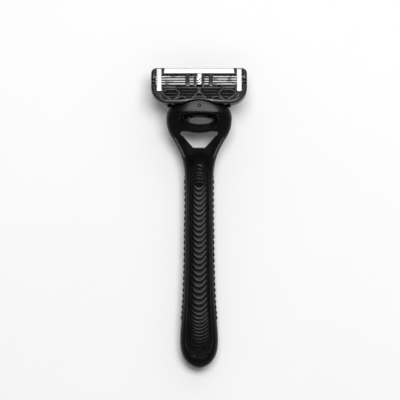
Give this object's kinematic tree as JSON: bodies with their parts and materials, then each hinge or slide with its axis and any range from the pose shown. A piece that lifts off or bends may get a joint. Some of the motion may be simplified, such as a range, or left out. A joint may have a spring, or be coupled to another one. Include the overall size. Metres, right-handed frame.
{
  "type": "cartridge safety razor",
  "caption": "Manual razor: slim rubber-inlaid handle with a triangular neck opening, and a pivoting push-off blade cartridge with guard fins and a lubricating strip.",
  "frame": {"origin": "centre of the whole razor's outline in plan, at the surface that it lies on", "axes": "+Y along the handle from the butt to the head, +Z out of the front face with the blades up, +X to the right seen from the front"},
  "size_m": [0.042, 0.132, 0.0198],
  "materials": {
    "hard_black_plastic": "moulded hard plastic, fine satin grain",
    "satin_black_plastic": "satin moulded plastic that takes a broad grey sheen",
    "soft_black_rubber": "matte overmoulded rubber with raised crescents and ribs",
    "cartridge_plastic": "fine moulded plastic",
    "guard_rubber": "soft moulded fins in a lattice",
    "white_strip": "dry waxy lubricating polymer",
    "blade_steel": "ground and polished edge",
    "support_steel": "stamped strip",
    "clip_aluminium": "bright rolled strip",
    "spring_steel": "drawn wire"
  },
  "bodies": {
    "handle": {"handle_core": "hard_black_plastic", "front_grip": "soft_black_rubber", "back_grip": "soft_black_rubber", "left_side_grip": "soft_black_rubber", "right_side_grip": "soft_black_rubber", "head_front_cover": "satin_black_plastic", "head_rear_cover": "hard_black_plastic", "button_spring_left": "spring_steel", "button_spring_right": "spring_steel", "plunger_spring": "spring_steel"},
    "button": {"eject_button": "satin_black_plastic"},
    "plunger": {"plunger": "hard_black_plastic"},
    "connector": {"connector": "hard_black_plastic"},
    "cartridge": {"cartridge_frame": "cartridge_plastic", "guard_fins": "guard_rubber", "lubricating_strip": "white_strip", "blade_1": "blade_steel", "blade_2": "blade_steel", "blade_3": "blade_steel", "blade_4": "blade_steel", "blade_support_1": "support_steel", "blade_support_2": "support_steel", "blade_support_3": "support_steel", "blade_support_4": "support_steel", "clip_left": "clip_aluminium", "clip_right": "clip_aluminium", "centre_post": "clip_aluminium"}
  },
  "joints": [
    {"name": "eject_press", "type": "slide", "parent": "handle", "child": "button", "axis": [0, 1, 0], "range_m": [0, 0.003], "stiffness_N_per_m": 500, "springref_m": -0.001, "deforming": ["button_spring_left", "button_spring_right"]},
    {"name": "connector_release", "type": "slide", "parent": "handle", "child": "connector", "axis": [0, 1, 0], "range_m": [0, 0.003]},
    {"name": "cartridge_pivot", "type": "hinge", "parent": "connector", "child": "cartridge", "pos_m": [0, 0.0519, 0.0165], "axis": [-1, 0, 0], "range_deg": [0, 40], "stiffness_Nm_per_rad": 0.01, "springref_deg": -17.19},
    {"name": "plunger_slide", "type": "slide", "parent": "handle", "child": "plunger", "axis": [0, 1, 0], "range_m": [-0.0036, 0], "deforming": ["plunger_spring"]}
  ],
  "couplings": [
    {"joint": "connector_release", "follows": "eject_press", "ratio": 1},
    {"joint": "plunger_slide", "follows": "cartridge_pivot", "m_per_rad": -0.00503}
  ]
}
